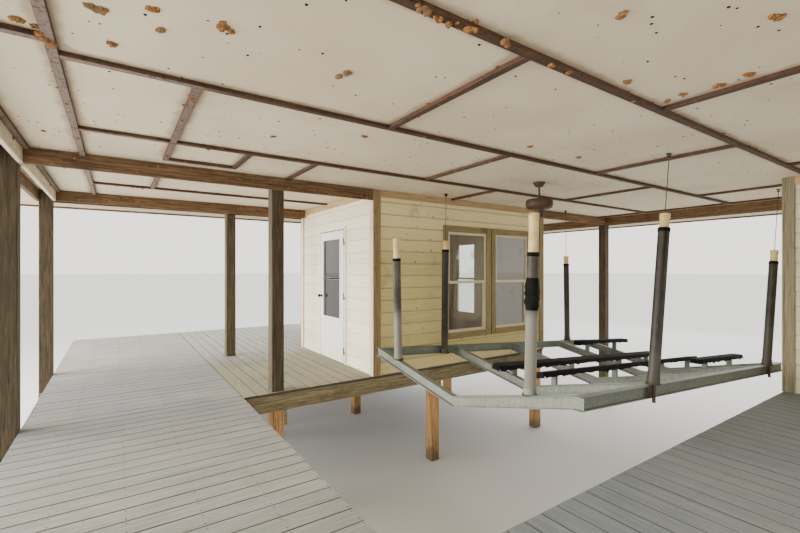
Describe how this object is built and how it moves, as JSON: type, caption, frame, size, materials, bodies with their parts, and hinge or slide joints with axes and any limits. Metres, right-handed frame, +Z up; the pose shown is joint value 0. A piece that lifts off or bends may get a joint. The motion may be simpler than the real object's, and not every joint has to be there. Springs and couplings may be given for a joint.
{
  "type": "boathouse with a cabin and a cradle boat lift",
  "caption": "Covered timber boathouse on piles with decks round a slip, a small cabin with a hinged door, a hipped roof and a cradle boat lift that slides up and down.",
  "frame": {"origin": "under the middle of the whole box, at still water level, where the piles end", "axes": "+X along the slip towards the open lake end, +Y across the slip to the cabin side and the open deck, +Z up"},
  "size_m": [10.076, 11.851, 4.9882],
  "materials": {
    "treated_timber": "weathered treated pine",
    "pile_timber": "orange brown timber, dark at the waterline",
    "framing_timber": "weathered framing timber",
    "deck_board": "grey grained composite boards",
    "slip_siding": "painted lap siding, pale yellow",
    "door_side_siding": "painted lap siding, off-white",
    "olive_trim": "painted boards, olive tan",
    "window_frame": "cream plastic",
    "clear_glass": "dusty clear glass",
    "white_door": "white painted, satin",
    "dark_metal": "dark worn metal",
    "store_siding": "painted lap siding, grey cream",
    "ceiling_sheet": "painted sheets, off-white, stained",
    "ceiling_batten": "rusty brown battens",
    "eave_paint": "painted boards, cream",
    "roof_shingle": "brown grit shingles",
    "rusty_metal": "rust brown",
    "lift_steel": "dull galvanised steel with stains",
    "bunk_carpet": "black outdoor carpet",
    "guide_plastic": "weathered white plastic pipe",
    "sleeve_plastic": "dark weathered plastic pipe",
    "cable_steel": "wire rope"
  },
  "bodies": {
    "root": {"piles": "pile_timber", "cross_beams": "framing_timber", "walkway_joists": "framing_timber", "slip_joists": "framing_timber", "rim_boards": "framing_timber", "water_posts": "treated_timber", "landing_posts": "treated_timber", "walkway_deck": "deck_board", "landing_deck": "deck_board", "side_deck": "deck_board", "cabin_floor": "deck_board", "cabin_front_wall": "slip_siding", "cabin_door_walls": "door_side_siding", "cabin_door_header": "door_side_siding", "cabin_rear_wall": "slip_siding", "cabin_lake_wall": "slip_siding", "corner_boards": "olive_trim", "frieze_boards": "olive_trim", "window_trim": "olive_trim", "window_sashes": "window_frame", "window_glass": "clear_glass", "door_frame": "white_door", "door_hinges": "dark_metal", "storeroom_end_walls": "store_siding", "storeroom_side_walls": "store_siding", "row_beams": "treated_timber", "end_beams": "treated_timber", "ceiling": "ceiling_sheet", "ceiling_battens_long": "ceiling_batten", "ceiling_battens_short": "ceiling_batten", "eave_soffit": "eave_paint", "fascia": "eave_paint", "roof": "roof_shingle", "ceiling_fan": "rusty_metal", "cable_hooks": "dark_metal", "lift_cables": "cable_steel"},
    "door": {"door_leaf": "white_door", "door_glass": "clear_glass", "door_hardware": "dark_metal"},
    "lift": {"lift_side_beams": "lift_steel", "lift_cross_members": "lift_steel", "lift_bunks": "bunk_carpet", "bunk_brackets": "lift_steel", "guide_pipes": "guide_plastic", "guide_sleeves": "sleeve_plastic", "guide_feet": "rusty_metal"}
  },
  "joints": [
    {"name": "cabin_door_hinge", "type": "hinge", "parent": "root", "child": "door", "pos_m": [-1.001, 1.0685, 2.36], "axis": [0, 0, 1], "range_deg": [0, 100]},
    {"name": "lift_hoist", "type": "slide", "parent": "root", "child": "lift", "axis": [0, 0, 1], "range_m": [-1.1, 0.15], "deforming": ["lift_cables"]}
  ]
}
